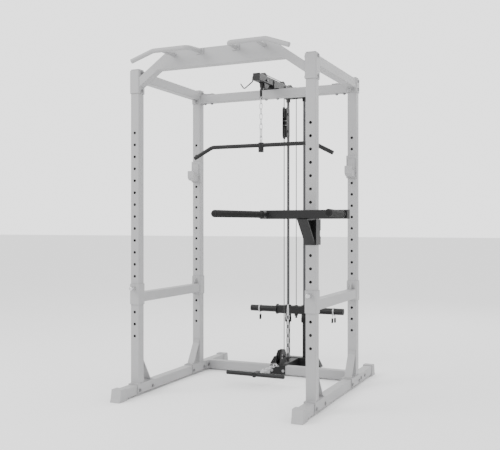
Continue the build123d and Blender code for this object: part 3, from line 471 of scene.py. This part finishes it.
turns = rope("cableRoundBlock", [
    arc(middleX, upperWheel[1], upperWheel[2], upperR, 180, 360, cable["halfRows"]),
    arc(middleX, lowerWheel[1], lowerWheel[2], lowerR, 180, 0, cable["halfRows"]),
], "travelling_block")
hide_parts("block_cable_turns")
print("cables laid")


# dip handle grips: ribbed rubber sleeves with a domed end and a flange
dipGrip = {"radius": 0.0195, "rib": 0.0005, "ribPitch": 0.006, "plainEnd": 0.03, "flange": 0.0215,
           "flangeLength": 0.006, "dome": 0.012, "domeEnd": 0.995, "splay": 9.7}


# profile: radius - rib * (1 + sin(2 pi along / pitch)) / 2, a flange at the root, and the tip
# closed as a dome, where the radius falls with sqrt(1 - left * left)
def gripGrid(root, tip, rows=260, around=36):
    length = np.linalg.norm(tip - root)
    s = np.linspace(0, 1, rows) * length
    ribbed = (s > dipGrip["plainEnd"]) & (s < length - dipGrip["plainEnd"])
    wave = 0.5 + 0.5 * np.sin(2 * np.pi * s / dipGrip["ribPitch"])
    r = dipGrip["radius"] - dipGrip["rib"] * ribbed * wave
    r = np.where(s < dipGrip["flangeLength"], dipGrip["flange"], r)
    left = np.clip((s - (length - dipGrip["dome"])) / dipGrip["dome"], 0, dipGrip["domeEnd"])
    r = r * np.sqrt(1 - left ** 2)
    path = root + (tip - root) * (s / length)[:, None]
    return tubeGrid(path, r, around, side=(0, 0, 1))


gripLow, gripHigh = boxOf("dip_grips")
gripZ = (gripLow[2] + gripHigh[2]) / 2
splay = math.radians(dipGrip["splay"])
meshes = []
for side in (-1, 1):
    tipX = (gripLow[0] if side < 0 else gripHigh[0]) - side * dipGrip["radius"] * math.cos(splay)
    tip = np.array([tipX, gripLow[1] + dipGrip["radius"] * math.sin(splay), gripZ])
    length = (gripHigh[1] - gripLow[1]) / math.cos(splay) - dipGrip["flangeLength"]
    root = tip - length * np.array([side * math.sin(splay), -math.cos(splay), 0])
    meshes.append(gridMesh("dipGrip", gripGrid(root, tip)))
grips = putPiece("ribbedDipGrips", meshes, finishes["rubber"], "root")
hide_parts("dip_grips")
print("dip grips made")


# spring collars: one wound wire with two legs
collarSpring = {"wire": 0.0024, "pitch": 0.0055, "turns": 2, "leg": 0.020, "lean": 0.002,
                "start": -115, "end": -65, "rows": 110, "legRows": 8, "around": 10}


# helix round X: radius * (cos t, sin t), stepping along X with t; each end drops into its grip
def collarPath(node, side):
    low, high = boxOf(node)
    wire, rows, turns = collarSpring["wire"], collarSpring["rows"], collarSpring["turns"]
    radius = (high[1] - low[1]) / 2 - wire
    x0 = low[0] + wire if side > 0 else high[0] - wire
    y0, z0 = (low[1] + high[1]) / 2, high[2] - radius - wire
    t = np.radians(np.linspace(collarSpring["start"], collarSpring["end"] + 360 * turns, rows))
    x = x0 + side * turns * collarSpring["pitch"] * np.linspace(0, 1, rows)
    coil = np.stack([x, y0 + radius * np.cos(t), z0 + radius * np.sin(t)], 1)
    lean, leg = collarSpring["lean"], collarSpring["leg"]
    first = straight(coil[0] + [0, -lean, -leg], coil[0], collarSpring["legRows"])[:-1]
    last = straight(coil[-1], coil[-1] + [0, lean, -leg], collarSpring["legRows"])[1:]
    return np.vstack([first, coil, last])


for name, side in (("left", -1), ("right", 1)):
    node = name + "_collar_spring"
    coil = tubeGrid(collarPath(node, side), collarSpring["wire"], collarSpring["around"])
    coil = gridMesh(node, coil)
    piece = putPiece(name + "WoundCollar", [coil], finishes["bright_steel"], name + "_collar")
    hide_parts(node)
print("collars wound")


# weld beads where the tubes meet their sleeves
weldBead = {"radius": 0.0032, "ripple": 0.22, "ripplePitch": 0.0045, "fine": 0.0016, "step": 0.0022,
            "square": 0.14, "around": 6}


# rounded square in two axes: half * sign(cos t) * |cos t| ^ square, and the same with sin t;
# the bead's radius ripples along it as 1 - ripple * |sin(pi along / pitch)|
def beadTube(centre, axisA, axisB, half):
    count = int(8 * half / weldBead["fine"])
    t = np.linspace(0, 2 * np.pi, count, endpoint=False)
    a = half * np.sign(np.cos(t)) * np.abs(np.cos(t)) ** weldBead["square"]
    b = half * np.sign(np.sin(t)) * np.abs(np.sin(t)) ** weldBead["square"]
    path = np.array(centre) + a[:, None] * axisA + b[:, None] * axisB
    run = np.cumsum(np.linalg.norm(np.diff(path, axis=0, append=path[:1]), axis=1))
    even = np.linspace(0, run[-1], int(run[-1] / weldBead["step"]))
    path = np.stack([np.interp(even, run, path[:, i]) for i in range(3)], 1)
    ripple = np.abs(np.sin(np.pi * even / weldBead["ripplePitch"]))
    radius = weldBead["radius"] * (1 - weldBead["ripple"] * ripple)
    normal = np.cross(axisA, axisB)
    return gridMesh("bead", tubeGrid(path, radius, weldBead["around"], side=normal))


xAxis, yAxis, zAxis = np.eye(3)
cage = {"tubeHalf": 0.030, "sleeveWall": 0.0055, "safetyTop": 0.074, "lift": 0.001}
tubeHalf = cage["tubeHalf"]
safetyZ = boxOf("safety_bars")[0][2] + cage["safetyTop"] - tubeHalf
sideBeamZ = boxOf("top_side_beams")[1][2] - tubeHalf
postX = (postLow[0] + tubeHalf, postHigh[0] - tubeHalf)
frontY, rearY = postLow[1] + tubeHalf, postHigh[1] - tubeHalf
sleeveOut = tubeHalf + cage["sleeveWall"]
beads = []
for x in postX:
    for y in (frontY + sleeveOut, rearY - sleeveOut):
        beads.append(beadTube((x, y, safetyZ), xAxis, zAxis, tubeHalf))
        beads.append(beadTube((x, y, sideBeamZ), xAxis, zAxis, tubeHalf))
    for y in (frontY, rearY):
        beads.append(beadTube((x, y, postLow[2] + cage["lift"]), xAxis, yAxis, tubeHalf))
welds = putPiece("weldBeads", beads, weldFinish, "root")
print("welds run:", len(beads))


# wheel bearings: a steel ring, a shield and a bore in each pulley face
bearing = {"outer": 0.0125, "inner": 0.0058, "proud": 0.0006, "deep": 0.004, "round": 0.0003,
           "shield": 0.0008, "dish": 0.0045, "around": 40}


# ring section turned round X: outer wall, rolled face with a shield groove, inner wall
def bearingGrid(centre, side, halfWidth):
    outer, inner = bearing["outer"], bearing["inner"]
    deep, edge, shield = -bearing["deep"], -bearing["round"], -bearing["shield"]
    radii = np.append(np.array([1.0, 1.0, 0.96, 0.86, 0.82, 0.66, 0.62, 0.52]) * outer, [inner, inner])
    across = np.array([deep, edge, 0, 0, shield, shield, 0, 0, edge, deep])
    across = across + halfWidth + bearing["proud"]
    t = np.linspace(0, 2 * np.pi, bearing["around"], endpoint=False)
    x = centre[0] + side * across[:, None] + 0 * t[None]
    y = centre[1] + radii[:, None] * np.cos(t)[None] * side
    z = centre[2] + radii[:, None] * np.sin(t)[None]
    return np.flip(np.stack([x, y, z], -1), 0)


for node in [n for n in slotOf if n.endswith("_pulley")]:
    low, high = boxOf(node)
    half = (high[0] - low[0]) / 2 - bearing["dish"]
    meshes = [gridMesh(node, bearingGrid((low + high) / 2, s, half), False) for s in (-1, 1)]
    piece = putPiece(node + "Bearings", meshes, finishes["bright_steel"], nodeBody[node])
print("bearings fitted")


# floor, lights and camera
studio = {
    "floor": 60.0, "floorDrop": 0.0005, "floorColour": (0.97, 0.97, 0.97), "floorRough": 0.9,
    "floorGloss": 0.1, "sky": 1.6, "backdrop": 2.3,
    "lamps": {  # place, power and size
        "softKey": ((-3.2, -3.6, 4.2), 170.0, 3.0),
        "softFill": ((4.2, -2.4, 2.6), 40.0, 3.0),
        "softRim": ((0.5, 4.2, 3.6), 60.0, 2.5),
    },
}


def makeFloor():
    mesh = bpy.data.meshes.new("studioFloor")
    r = studio["floor"]
    mesh.from_pydata([(-r, -r, 0), (r, -r, 0), (r, r, 0), (-r, r, 0)], [], [(0, 1, 2, 3)])
    floor = bpy.data.objects.new("studioFloor", mesh)
    bpy.context.collection.objects.link(floor)
    material = bpy.data.materials.new("paleFloor")
    material.use_nodes = True
    shader = material.node_tree.nodes["Principled BSDF"]
    shader.inputs["Base Color"].default_value = (*studio["floorColour"], 1)
    shader.inputs["Roughness"].default_value = studio["floorRough"]
    shader.inputs["Specular IOR Level"].default_value = studio["floorGloss"]
    mesh.materials.append(material)
    floor.location.z = -studio["floorDrop"]


def makeLamp(name, place, power, size):
    data = bpy.data.lights.new(name, "AREA")
    data.energy, data.size = power, size
    lamp = bpy.data.objects.new(name, data)
    bpy.context.collection.objects.link(lamp)
    lamp.location = place
    lamp.rotation_euler = (Vector(postMiddle) - Vector(place)).to_track_quat("-Z", "Y").to_euler()


makeFloor()
for name, (place, power, size) in studio["lamps"].items():
    makeLamp(name, place, power, size)
world = bpy.data.worlds.new("paleStudio")
bpy.context.scene.world = world
world.use_nodes = True
background = world.node_tree.nodes["Background"]
background.inputs["Color"].default_value = (1, 1, 1, 1)
# the backdrop that the eye sees is brighter than the light that falls on the cage
seen = world.node_tree.nodes.new("ShaderNodeLightPath").outputs["Is Camera Ray"]
strength = spread(world.node_tree, seen, studio["sky"], studio["backdrop"])
world.node_tree.links.new(strength, background.inputs["Strength"])

# eye: metres right and ahead of the middle of the front faces, its height, its turn and its lens
eye = {"right": 1.9977, "ahead": 4.3625, "height": 1.070, "turn": 24.307, "lens": 53.55,
       "sensor": 36}
camera = bpy.data.objects.new("eye", bpy.data.cameras.new("eye"))
bpy.context.collection.objects.link(camera)
faceMiddle = Vector((postMiddle[0], postMiddle[1] - tubeHalf, 0))
camera.location = faceMiddle + Vector((eye["right"], -eye["ahead"], eye["height"]))
camera.rotation_euler = (math.radians(90), 0, math.radians(eye["turn"]))
camera.data.lens = eye["lens"]
camera.data.sensor_width = eye["sensor"]
bpy.context.scene.camera = camera
print("studio set")
